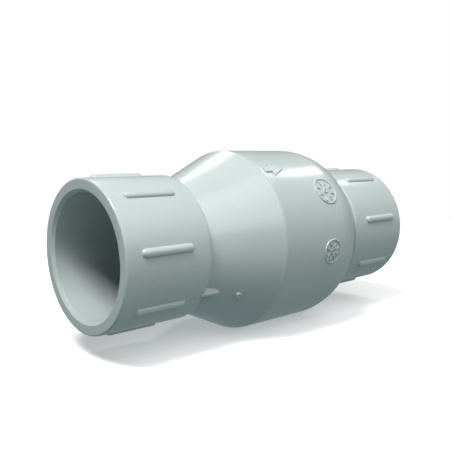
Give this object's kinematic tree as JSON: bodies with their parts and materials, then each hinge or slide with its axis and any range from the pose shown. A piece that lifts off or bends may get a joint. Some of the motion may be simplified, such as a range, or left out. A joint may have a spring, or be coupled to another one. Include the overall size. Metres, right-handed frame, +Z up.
{
  "type": "swing check valve",
  "caption": "Inline check valve with a socket at each end, a tapered body and a sprung flapper that closes on a seat ring.",
  "frame": {"origin": "on the flow axis, midway between the two end faces, which is the centre of the overall box", "axes": "+X along the flow from the inlet to the outlet, +Z up towards the hinge pin, +Y to the left of the flow"},
  "size_m": [0.208, 0.0988, 0.0982],
  "materials": {
    "pvc": "semi-gloss grey moulding",
    "seat_pvc": "satin grey",
    "flapper_pvc": "satin grey",
    "epdm": "matt black",
    "stainless": "turned",
    "spring_steel": "drawn wire",
    "nylon": "natural"
  },
  "bodies": {
    "housing": {"inlet_housing": "pvc", "outlet_housing": "pvc", "seat_ring": "seat_pvc", "seat_o_ring": "epdm", "hinge_pin": "stainless", "pin_clip_left": "spring_steel", "pin_clip_right": "spring_steel", "hinge_spacer_left": "nylon", "hinge_spacer_right": "nylon", "torsion_spring": "spring_steel"},
    "flapper": {"flapper": "flapper_pvc", "flapper_seal": "epdm", "seal_retainer": "stainless", "retainer_screw": "stainless", "retainer_washer": "stainless", "retainer_nut": "stainless"}
  },
  "joints": [
    {"name": "flapper_swing", "type": "hinge", "parent": "housing", "child": "flapper", "pos_m": [-0.0208, 0, 0.0319], "axis": [0, -1, 0], "range_deg": [0, 70], "stiffness_Nm_per_rad": 0.03, "springref_deg": -45.84, "deforming": ["torsion_spring"]}
  ]
}
